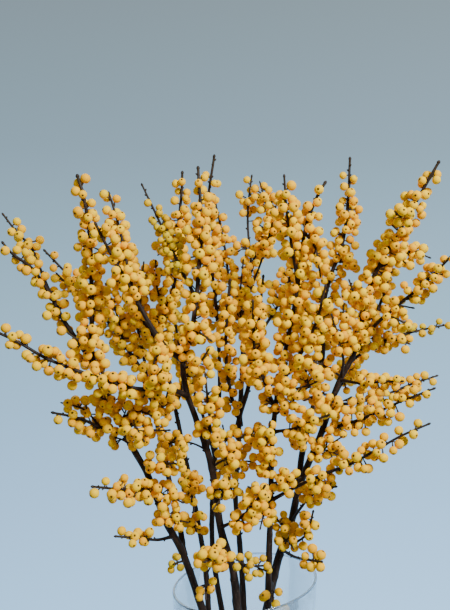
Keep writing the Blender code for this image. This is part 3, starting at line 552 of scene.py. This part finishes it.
def berries_on(shoot, crowd, rng):
    """The berries of one shoot, node by node up the laden stretch."""
    berries = []
    full = FULLNESS.get(shoot.label, 1.0)
    size = GREEN_RADIUS if shoot.label in GREENISH else BERRY_RADIUS
    laden = shoot.laden_to - shoot.laden_from
    thin_end = THIN_ENDS.get(shoot.label, 0) * MM or min(THIN_END, 0.4 * laden)
    turn = rng.uniform(0, math.tau)
    distance = shoot.laden_from + rng.uniform(0.2, 1.0) * NODE_GAP
    while distance < shoot.laden_to:
        left = min(1.0, (shoot.laden_to - distance) / thin_end)
        count = BERRIES_AT_NODE * full * (0.6 + 0.4 * left)
        count = int(count) + (rng.random() < count % 1)
        heading = shoot.heading(distance)
        across, up = cross_frame(heading)
        for _ in range(count):
            angle = turn + rng.gauss(0, 0.75)
            lift = rng.uniform(-0.35, 0.85)
            out = across * math.cos(angle) + up * math.sin(angle)
            direction = out * math.cos(lift) + heading * math.sin(lift)
            radius = size * rng.uniform(0.86, 1.1)
            foot = shoot.at(distance + rng.uniform(-1, 1) * MM) + out * shoot.radius(distance) * 0.9
            for stalk in np.arange(SHORT_STALK, 4 * MM + (LONG_STALK - 4 * MM) * left, STALK_STEP):
                berry = Berry(foot, direction, float(stalk), radius, rng.random())
                if crowd.has_room(berry.centre, radius) and clears_vase(berry.centre, radius):
                    crowd.add(berry.centre, radius)
                    berries.append(berry)
                    break
        turn += GOLDEN_TURN
        distance += NODE_GAP * (2.2 - 1.2 * left) * rng.uniform(0.75, 1.25)
    return berries


def hang_berries(bunch):
    """Every shoot's berries, none of them through the wood, the vase or another berry."""
    crowd = Crowd()
    for shoots in bunch.values():
        for shoot in shoots:
            for number, point in enumerate(shoot.line):
                crowd.add(Vector(point), shoot.radius(number * shoot.length / (len(shoot.line) - 1)))
    rng = random.Random(26)
    return {shoot.label: berries_on(shoot, crowd, rng) for shoots in bunch.values() for shoot in shoots}


# ---- Node groups and materials -----------------------------------------------------------------

class Nodes:
    """A short way to add and join nodes in one tree."""

    def __init__(self, tree):
        self.tree = tree

    def add(self, kind, **inputs):
        node = self.tree.nodes.new(kind)
        for name, value in inputs.items():
            self.put(node, name.replace("_", " "), value)
        return node

    def give(self, socket, value):
        """Joins a socket to another node's output, or sets it to a plain value."""
        if isinstance(value, bpy.types.NodeSocket):
            self.tree.links.new(value, socket)
        else:
            socket.default_value = value

    def put(self, node, name, value):
        self.give(node.inputs[name], value)

    def math(self, operation, first, second):
        node = self.tree.nodes.new("ShaderNodeMath")
        node.operation = operation
        self.give(node.inputs[0], first)
        self.give(node.inputs[1], second)
        return node.outputs[0]

    def scaled(self, value, share):
        return self.math("MULTIPLY", value, share)

    def mix(self, factor, first, second):
        """One colour mixed over another; a colour is another node's output or three numbers."""
        node = self.tree.nodes.new("ShaderNodeMix")
        node.data_type = "RGBA"
        colours = [(*value, 1.0) if isinstance(value, tuple) else value for value in (first, second)]
        for socket, value in zip((node.inputs[0], node.inputs[6], node.inputs[7]), (factor, *colours)):
            self.give(socket, value)
        return node.outputs[2]

    def ramp(self, factor, stops):
        """Colours between stops, each a place and a colour."""
        node = self.tree.nodes.new("ShaderNodeValToRGB")
        elements = node.color_ramp.elements
        while len(elements) < len(stops):
            elements.new(0.5)
        for element, (place, colour) in zip(elements, stops):
            element.position = place
            element.color = (*colour, 1.0)
        self.tree.links.new(factor, node.inputs[0])
        return node.outputs[0]

    def smooth_step(self, value, low, high):
        """0 below one value, 1 above the other, with a soft change between them."""
        node = self.tree.nodes.new("ShaderNodeMapRange")
        node.interpolation_type = "SMOOTHSTEP"
        self.tree.links.new(value, node.inputs["Value"])
        node.inputs["From Min"].default_value = low
        node.inputs["From Max"].default_value = high
        return node.outputs["Result"]


def mottle_group():
    """Soft blotches: two sizes of noise mixed into one mask, from 0 to 1."""
    group = bpy.data.node_groups.new("Mottle", "ShaderNodeTree")
    face = group.interface
    face.new_socket("Place", in_out="INPUT", socket_type="NodeSocketVector")
    size = face.new_socket("Scale", in_out="INPUT", socket_type="NodeSocketFloat")
    size.default_value = 100.0
    share = face.new_socket("Fine share", in_out="INPUT", socket_type="NodeSocketFloat")
    share.default_value = 0.35
    face.new_socket("Mask", in_out="OUTPUT", socket_type="NodeSocketFloat")
    nodes = Nodes(group)
    given = group.nodes.new("NodeGroupInput").outputs
    broad = nodes.add("ShaderNodeTexNoise", Vector=given["Place"], Scale=given["Scale"], Detail=2.0)
    finer = nodes.math("MULTIPLY", given["Scale"], 4.3)
    fine = nodes.add("ShaderNodeTexNoise", Vector=given["Place"], Scale=finer, Detail=3.0)
    whole = nodes.math("MULTIPLY", broad.outputs[0], nodes.math("SUBTRACT", 1.0, given["Fine share"]))
    whole = nodes.math("ADD", whole, nodes.math("MULTIPLY", fine.outputs[0], given["Fine share"]))
    made = group.nodes.new("NodeGroupOutput")
    group.links.new(nodes.smooth_step(whole, 0.32, 0.68), made.inputs["Mask"])
    return group


def new_material(name):
    """A fresh material, its nodes and its shader."""
    made = bpy.data.materials.new(name)
    made.use_nodes = True
    return made, Nodes(made.node_tree), made.node_tree.nodes["Principled BSDF"]


def mottled(nodes, group, place, scale, fine_share):
    """The shared mottle mask at one scale."""
    node = nodes.tree.nodes.new("ShaderNodeGroup")
    node.node_tree = group
    nodes.put(node, "Place", place)
    nodes.put(node, "Scale", scale)
    nodes.put(node, "Fine share", fine_share)
    return node.outputs["Mask"]


def attribute(nodes, name, output="Fac"):
    """A value that the mesh carries at its points."""
    node = nodes.tree.nodes.new("ShaderNodeAttribute")
    node.attribute_name = name
    return node.outputs[output]


def berry_skin(name, mottle, tints, shade):
    """Satin fruit skin: a tint for each berry, soft blotches, and the dark dot at its outer end."""
    made, nodes, shader = new_material(name)
    place = nodes.add("ShaderNodeTexCoord").outputs["Object"]
    along = nodes.add("ShaderNodeSeparateXYZ", Vector=nodes.add("ShaderNodeUVMap").outputs[0]).outputs[1]
    colour = nodes.ramp(attribute(nodes, "tint"), tints)
    blotch = mottled(nodes, mottle, place, BLOTCH_SCALE, 0.3)
    colour = nodes.mix(nodes.scaled(blotch, 0.42), colour, shade)
    freckle = mottled(nodes, mottle, place, FRECKLE_SCALE, 0.5)
    colour = nodes.mix(nodes.scaled(freckle, 0.12), colour, FRECKLE_COLOUR)
    stalk_end = nodes.smooth_step(along, 0.12, 0.03)
    colour = nodes.mix(nodes.scaled(stalk_end, 0.7), colour, STALK_END_COLOUR)
    halo = nodes.smooth_step(along, 0.82, 0.93)
    colour = nodes.mix(nodes.scaled(halo, 0.4), colour, HALO_COLOUR)
    dot = nodes.smooth_step(along, 0.92, 0.935)
    colour = nodes.mix(dot, colour, DOT_COLOUR)
    nodes.put(shader, "Base Color", colour)
    nodes.put(shader, "Roughness", nodes.math("ADD", nodes.scaled(freckle, 0.10), 0.42))
    dimple = nodes.math("SUBTRACT", nodes.scaled(dot, 0.5), halo)
    relief = nodes.math("ADD", nodes.scaled(freckle, 0.12), dimple)
    bump = nodes.add("ShaderNodeBump", Height=relief, Strength=0.35, Distance=0.35 * MM)
    nodes.put(shader, "Normal", bump.outputs[0])
    shader.inputs["Specular IOR Level"].default_value = 0.12
    shader.inputs["Specular Tint"].default_value = SHEEN_TINT
    shader.inputs["Subsurface Weight"].default_value = 0.0
    return made


def bark_skin(mottle):
    """Dark bark: long streaks, pale pores, greyed patches, younger green-brown skin on the tips."""
    made, nodes, shader = new_material("bark")
    grain = attribute(nodes, "grain", "Vector")
    long_grain = nodes.add("ShaderNodeMapping", Vector=grain, Scale=(1.0, 1.0, 0.16)).outputs[0]
    streak = mottled(nodes, mottle, long_grain, STREAK_SCALE, 0.45)
    patch = mottled(nodes, mottle, grain, PATCH_SCALE, 0.3)
    colour = nodes.ramp(streak, BARK_TINTS)
    colour = nodes.mix(nodes.scaled(patch, 0.24), colour, PATCH_COLOUR)
    squat = nodes.add("ShaderNodeMapping", Vector=grain, Scale=(0.55, 0.55, 1.0)).outputs[0]
    pores = nodes.add("ShaderNodeTexVoronoi", Vector=squat, Scale=PORE_SCALE).outputs["Distance"]
    pore = nodes.smooth_step(pores, 0.20, 0.10)
    colour = nodes.mix(nodes.scaled(pore, 0.5), colour, PORE_COLOUR)
    young = attribute(nodes, "young")
    colour = nodes.mix(nodes.scaled(young, 0.8), colour, YOUNG_COLOUR)
    wood = nodes.mix(streak, SAWN_DARK, SAWN_PALE)
    colour = nodes.mix(attribute(nodes, "cut"), colour, wood)
    nodes.put(shader, "Base Color", colour)
    nodes.put(shader, "Roughness", nodes.math("ADD", nodes.scaled(streak, 0.20), 0.52))
    relief = nodes.math("ADD", nodes.scaled(streak, 0.6), nodes.scaled(pore, 0.7))
    bump = nodes.add("ShaderNodeBump", Height=relief, Strength=0.6, Distance=0.4 * MM)
    nodes.put(shader, "Normal", bump.outputs[0])
    shader.inputs["Specular IOR Level"].default_value = 0.3
    return made


def vase_glass(name, colour, alpha):
    """Clear glass; the rounded lip's copy carries a painted grey-blue shade, standing in for the dark edge
    that light running round inside the lip gives.
    """
    made, nodes, shader = new_material(name)
    shader.inputs["Base Color"].default_value = (*colour, 1.0)
    shader.inputs["Roughness"].default_value = 0.0
    shader.inputs["IOR"].default_value = GLASS_IOR
    shader.inputs["Alpha"].default_value = alpha
    shader.inputs["Metallic"].default_value = 0.0
    shader.inputs["Transmission Weight"].default_value = 1.0
    return made


# ---- Vase --------------------------------------------------------------------------------------

def wall_radius(height):
    """The vase's outer radius at a height."""
    return VASE_FOOT_RADIUS + (VASE_TOP_RADIUS - VASE_FOOT_RADIUS) * height / VASE_HEIGHT


def arc(centre, radius, start, end, steps):
    """Points of an arc in the outline's plane, angles in degrees."""
    turns = [math.radians(start + (end - start) * step / steps) for step in range(steps + 1)]
    return [(centre[0] + radius * math.cos(turn), centre[1] + radius * math.sin(turn)) for turn in turns]


def build_vase(glass, painted_lip_shade):
    """A turned wall and base; its upper end is then slanted, each point staying on the same cone."""
    lip = VASE_WALL / 2
    inner_foot = wall_radius(VASE_BASE) - VASE_WALL
    outline = [(0, 0), (VASE_FOOT_RADIUS - FOOT_ROUND - MM, 0)]
    outline += arc((VASE_FOOT_RADIUS - FOOT_ROUND, FOOT_ROUND), FOOT_ROUND, -90, 0, ROUND_STEPS)
    levels = np.linspace(0.1, 0.94, WALL_LEVELS)
    outline += [(wall_radius(VASE_HEIGHT * level), VASE_HEIGHT * level) for level in levels]
    outline += arc((wall_radius(VASE_HEIGHT) - lip, VASE_HEIGHT - lip), lip, 0, 180, LIP_STEPS)
    outline += [(wall_radius(VASE_HEIGHT * level) - VASE_WALL, VASE_HEIGHT * level)
                for level in levels[::-1]]
    outline += arc((inner_foot - INSIDE_ROUND, VASE_BASE + INSIDE_ROUND), INSIDE_ROUND, 0, -90, ROUND_STEPS)
    outline += [(0, VASE_BASE)]
    bm = bmesh.new()
    verts = [bm.verts.new((radius, 0, height)) for radius, height in outline]
    edges = [bm.edges.new(pair) for pair in zip(verts, verts[1:])]
    bmesh.ops.spin(bm, geom=verts + edges, cent=(0, 0, 0), axis=(0, 0, 1), angle=math.tau,
                   steps=VASE_SIDES, use_merge=True)
    bmesh.ops.remove_doubles(bm, verts=bm.verts, dist=0.01 * MM)
    # The rounded lip's faces take the second finish, its painted grey-blue shade for the dark refracted
    # edge
    for face in bm.faces:
        face.material_index = int(face.calc_center_median().z > VASE_HEIGHT - lip)
    for vert in bm.verts:
        slant = (vert.co.z / VASE_HEIGHT) ** 3
        lifted = vert.co.z + RIM_SLOPE * vert.co.x * slant
        widen = wall_radius(lifted) - wall_radius(vert.co.z)
        out = math.hypot(vert.co.x, vert.co.y)
        if out > inner_foot / 2:
            vert.co.x *= 1 + widen / out
            vert.co.y *= 1 + widen / out
        vert.co.z = lifted
    bmesh.ops.recalc_face_normals(bm, faces=bm.faces)
    vase = new_piece("glass_vase", bm, glass)
    vase.data.materials.append(painted_lip_shade)
    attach(vase, "root")
    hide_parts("vase")


def merge(whole, part):
    """Adds one small mesh to a larger one, which is quicker than growing the larger one."""
    scratch = bpy.data.meshes.new("scratch")
    part.to_mesh(scratch)
    part.free()
    whole.from_mesh(scratch)
    bpy.data.meshes.remove(scratch)


def new_piece(name, bm, finish):
    """A finished bmesh as an object in the scene, smooth and with one material."""
    mesh = bpy.data.meshes.new(name)
    bm.to_mesh(mesh)
    bm.free()
    mesh.materials.append(finish)
    mesh.shade_smooth()
    obj = bpy.data.objects.new(name, mesh)
    bpy.context.scene.collection.objects.link(obj)
    return obj


# ---- Wood --------------------------------------------------------------------------------------

class Bark:
    """The growing mesh of one branch, with the bark's own coordinates on every corner."""

    def __init__(self):
        self.bm = bmesh.new()
        layers = self.bm.verts.layers
        self.grain = layers.float_vector.new("grain")
        self.young = layers.float.new("young")
        self.cut = layers.float.new("cut")

    def mark(self, vert, grain, young=0.0, cut=0.0):
        """Gives one point its bark coordinates, and says how young or sawn it is."""
        vert[self.grain] = grain
        vert[self.young] = young
        vert[self.cut] = cut

    def ring(self, places):
        """A closed loop of points at the given places."""
        ring = bmesh.ops.create_circle(self.bm, segments=len(places), radius=MM)["verts"]
        for vert, place in zip(ring, places):
            vert.co = place
        return ring

    def swept(self, ring, places):
        """Extrudes a ring once, to new places, and returns the new ring in the same order."""
        edges = [self.bm.edges.get((one, other)) for one, other in zip(ring, ring[1:] + ring[:1])]
        grown = bmesh.ops.extrude_edge_only(self.bm, edges=edges)["geom"]
        fresh = {item for item in grown if isinstance(item, bmesh.types.BMVert)}
        following = []
        for old, place in zip(ring, places):
            new = next(edge.other_vert(old) for edge in old.link_edges if edge.other_vert(old) in fresh)
            new.co = place
            following.append(new)
        return following


def knot_swell(distance, phase):
    """How much thicker the wood is close to a knot."""
    off = (distance + phase) % KNOT_GAP - KNOT_GAP / 2
    return KNOT_SWELL * math.exp(-(off / KNOT_REACH) ** 2)


def bark_ring(shoot, distance, sides, offset):
    """Places and bark coordinates of one ring, knobbly as the wood is."""
    across, up = cross_frame(shoot.heading(distance))
    centre = shoot.at(distance)
    plain = shoot.radius(distance)
    if shoot.parent is not None:
        plain *= 1 + COLLAR_SWELL * math.exp(-max(0.0, distance - COLLAR_START) / COLLAR_REACH)
    swell = knot_swell(distance, offset)
    places, grains = [], []
    for corner in range(sides):
        turn = corner * math.tau / sides
        around = Vector((math.cos(turn), math.sin(turn), 0))
        wobble = noise.noise(around * 0.8 + Vector((0, 0, (distance + offset) / WOBBLE_GAP)))
        lean = 0.5 + 0.5 * math.cos(turn - offset * 900)
        radius = plain * (1 + WOBBLE * wobble + swell * lean)
        places.append(centre + (across * around.x + up * around.y) * radius)
        grains.append(Vector((around.x * plain, around.y * plain, distance + offset)))
    return places, grains


def grow_wood(bark, shoot, sides, offset):
    """One shoot, from its cut or joined foot to the bud at its tip."""
    steps = max(4, int(shoot.length / RING_STEP))
    places, grains = bark_ring(shoot, 0.0, sides, offset)
    if shoot.parent is None:
        ring = cut_end(bark, shoot, places, grains)
    else:
        ring = bark.ring(places)
        bark.bm.faces.new(ring)
    for vert, grain in zip(ring, grains):
        bark.mark(vert, grain)
    for step in range(1, steps + 1):
        distance = shoot.length * step / steps
        places, grains = bark_ring(shoot, distance, sides, offset)
        ring = bark.swept(ring, places)
        young = max(0.0, 0.5 - (shoot.length - distance) / YOUNG_REACH)
        for vert, grain in zip(ring, grains):
            bark.mark(vert, grain, young)
    tip = shoot.at(shoot.length)
    heading = shoot.heading(shoot.length)
    for ahead, width in TIP_BUD:
        bud = [tip + heading * ahead * MM + (place - tip).normalized() * shoot.tip * width
               for place in places]
        ring = bark.swept(ring, bud)
        for vert, grain in zip(ring, grains):
            bark.mark(vert, grain + Vector((0, 0, ahead * MM)), 0.3)
    bark.bm.faces.new(ring)


def cut_end(bark, shoot, places, grains):
    """The sawn foot of a branch: pale wood inside a thin edge of bark."""
    centre = shoot.at(0)
    middle = bark.ring([centre + (place - centre) * SAWN_MIDDLE for place in places])
    bark.bm.faces.new(middle)
    inner = bark.swept(middle, [centre + (place - centre) * SAWN_EDGE for place in places])
    for ring in (middle, inner):
        for vert, grain in zip(ring, grains):
            bark.mark(vert, grain, cut=1.0)
    return bark.swept(inner, places)


def add_bud(bark, place, direction, length, width, offset):
    """A small pointed bud that lies against the wood."""
    turn = direction.to_track_quat("Z", "Y").to_matrix().to_4x4()
    shape = Matrix.Translation(place) @ turn @ Matrix.Diagonal((width, width, length, 1.0))
    made = bmesh.ops.create_uvsphere(bark.bm, u_segments=6, v_segments=5, radius=0.5, matrix=shape)
    for vert in made["verts"]:
        bark.mark(vert, vert.co + Vector((0, 0, offset)), 0.35)


def grow_buds(bark, shoot, offset, rng):
    """Buds in a spiral on the bare tip and on the thinner bare wood."""
    turn = rng.uniform(0, math.tau)
    distance = shoot.length * 0.2 if shoot.parent else shoot.length * 0.55
    while distance < shoot.length - 2 * MM:
        heading = shoot.heading(distance)
        across, up = cross_frame(heading)
        out = across * math.cos(turn) + up * math.sin(turn)
        tight = BUD_GAP if distance < shoot.laden_to - CLOSE_BUDS else BUD_GAP * 0.5
        place = shoot.at(distance) + out * (shoot.radius(distance) + 0.3 * MM)
        size = rng.uniform(0.8, 1.25)
        leaning = (heading + out * 0.8).normalized()
        add_bud(bark, place, leaning, BUD_LENGTH * size, BUD_WIDTH * size, offset)
        turn += GOLDEN_TURN
        distance += tight * rng.uniform(0.8, 1.3)


def grow_stalk(bark, berry, offset):
    """A berry's short stalk, widening where it meets the berry."""
    turn = berry.direction.to_track_quat("Z", "Y").to_matrix().to_4x4()
    start, end = -STALK_ROOT, berry.stalk + STALK_HOLD
    middle = berry.foot + berry.direction * (start + end) / 2
    made = bmesh.ops.create_cone(bark.bm, cap_ends=True, segments=STALK_SIDES, radius1=STALK_FOOT,
                                 radius2=STALK_HEAD, depth=end - start,
                                 matrix=Matrix.Translation(middle) @ turn)
    for vert in made["verts"]:
        bark.mark(vert, vert.co + Vector((0, 0, offset)), 1.0)


def build_branch(branch, shoots, berries, bark_finish, number):
    """All the wood of one branch, with its buds and the stalks of its berries."""
    whole = bmesh.new()
    rng = random.Random(100 + number)
    for index, shoot in enumerate(shoots):
        bark = Bark()
        offset = 0.37 * (1 + index) + 1.9 * number
        grow_wood(bark, shoot, STEM_SIDES if shoot.parent is None else SHOOT_SIDES, offset)
        grow_buds(bark, shoot, offset, rng)
        for berry in berries[shoot.label]:
            grow_stalk(bark, berry, offset)
        bmesh.ops.recalc_face_normals(bark.bm, faces=bark.bm.faces)
        merge(whole, bark.bm)
    wood = new_piece(f"wood_{branch}", whole, bark_finish)
    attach(wood, "root")
    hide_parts(f"branch_{branch}")


# ---- Berries -----------------------------------------------------------------------------------

def build_berries(name, berries, finish, stands_for):
    """One piece of berries, each a ball with its dotted end turned outwards."""
    if not berries:
        return
    whole = bmesh.new()
    for berry in berries:
        bm = bmesh.new()
        bm.loops.layers.uv.new("shape")
        tint = bm.verts.layers.float.new("tint")
        turn = berry.direction.to_track_quat("Z", "Y").to_matrix().to_4x4()
        shape = Matrix.Diagonal((1.0, 1.0, BERRY_HEIGHT, 1.0))
        place = Matrix.Translation(berry.centre) @ turn @ shape
        made = bmesh.ops.create_uvsphere(bm, u_segments=BERRY_AROUND, v_segments=BERRY_UP,
                                         radius=berry.radius, matrix=place, calc_uvs=True)
        for vert in made["verts"]:
            vert[tint] = berry.tint
        merge(whole, bm)
    piece = new_piece(name, whole, finish)
    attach(piece, "root")
    if stands_for:
        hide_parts(*stands_for)


def sleeves_of(shoot):
    """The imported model's berry nodes that stand for this shoot's berries."""
    name = f"berries_{shoot.branch}_{shoot.name}"
    return [node for node in frame["nodes"] if node == name or node.rstrip("0123456789") == name + "_"]


# ---- Stage -------------------------------------------------------------------------------------

def build_stage(mottle):
    """A pale round floor that fades into an even backdrop, and soft lights."""
    bm = bmesh.new()
    bmesh.ops.create_circle(bm, cap_ends=True, segments=96, radius=FLOOR_RADIUS)
    floor = new_piece("floor", bm, floor_finish(mottle))
    floor.location.z = -FLOOR_DROP
    build_backdrop()
    for name, (place, width, watts) in LIGHTS.items():
        soft_light(name, place, width, watts)


def build_backdrop():
    """An even surround: grey-blue behind the bunch, paler low down, and neutral in front of it."""
    world = bpy.data.worlds.new("backdrop")
    world.use_nodes = True
    nodes = Nodes(world.node_tree)
    background = world.node_tree.nodes["Background"]
    place = nodes.add("ShaderNodeTexCoord").outputs["Generated"]
    across, depth, height = nodes.add("ShaderNodeSeparateXYZ", Vector=place).outputs
    level = nodes.math("ADD", nodes.scaled(height, 0.5), 0.5)
    behind = nodes.ramp(level, BEHIND_TINTS)
    ahead = nodes.ramp(level, AHEAD_TINTS)
    turn = nodes.smooth_step(depth, *BACKDROP_TURN)
    lean = nodes.math("ADD", nodes.scaled(across, BACKDROP_LEAN), 1.0)
    nodes.put(background, "Color", nodes.mix(turn, ahead, behind))
    nodes.put(background, "Strength", lean)
    bpy.context.scene.world = world


def floor_finish(mottle):
    """Pale, slightly clouded floor, see-through towards its edge."""
    made, nodes, shader = new_material("floor_finish")
    place = nodes.add("ShaderNodeTexCoord").outputs["Object"]
    blotch = mottled(nodes, mottle, place, FLOOR_SCALE, 0.4)
    nodes.put(shader, "Base Color", nodes.mix(blotch, FLOOR_DARK, FLOOR_PALE))
    shader.inputs["Roughness"].default_value = 0.7
    distance = nodes.tree.nodes.new("ShaderNodeVectorMath")
    distance.operation = "LENGTH"
    nodes.tree.links.new(place, distance.inputs[0])
    nodes.put(shader, "Alpha", nodes.smooth_step(distance.outputs["Value"], *FLOOR_FADE))
    return made


def soft_light(name, place, width, watts):
    """A round lamp that faces the bunch."""
    data = bpy.data.lights.new(name, "AREA")
    data.shape = "DISK"
    data.size = width
    data.energy = watts
    light = bpy.data.objects.new(name, data)
    light.location = place
    light.rotation_euler = (Vector(LIGHT_AIM) - Vector(place)).to_track_quat("-Z", "Y").to_euler()
    bpy.context.scene.collection.objects.link(light)


def build_camera():
    """A camera a little above the middle of the bunch, looking slightly down."""
    data = bpy.data.cameras.new("camera")
    data.lens = CAMERA_LENS
    data.sensor_width = CAMERA_SENSOR
    camera = bpy.data.objects.new("camera", data)
    camera.location = CAMERA_PLACE
    camera.rotation_euler = (math.pi / 2 - CAMERA_PITCH, 0, 0)
    bpy.context.scene.collection.objects.link(camera)
    bpy.context.scene.camera = camera



def main():
    """Grows the bunch, hangs its berries, and sets it in the vase on the stage."""
    mottle = mottle_group()
    amber = berry_skin("amber_skin", mottle, AMBER_TINTS, AMBER_SHADE)
    greenish = berry_skin("greenish_skin", mottle, GREEN_TINTS, GREEN_SHADE)
    bark = bark_skin(mottle)
    bunch = grow_bunch()
    berries = hang_berries(bunch)
    for number, (branch, shoots) in enumerate(bunch.items()):
        build_branch(branch, shoots, berries, bark, number)
        for shoot in shoots:
            green = shoot.label in GREENISH
            build_berries(f"fruit_{branch}_{shoot.name}", berries[shoot.label],
                          greenish if green else amber, sleeves_of(shoot))
    # The second finish is the lip's painted shade, grey-blue for the dark edge of the glass rim
    build_vase(vase_glass("vase_glass", GLASS_COLOUR, GLASS_ALPHA),
               vase_glass("vase_lip_painted_shade", LIP_PAINTED_SHADE, LIP_PAINTED_SHADE_ALPHA))
    build_stage(mottle)
    build_camera()


main()
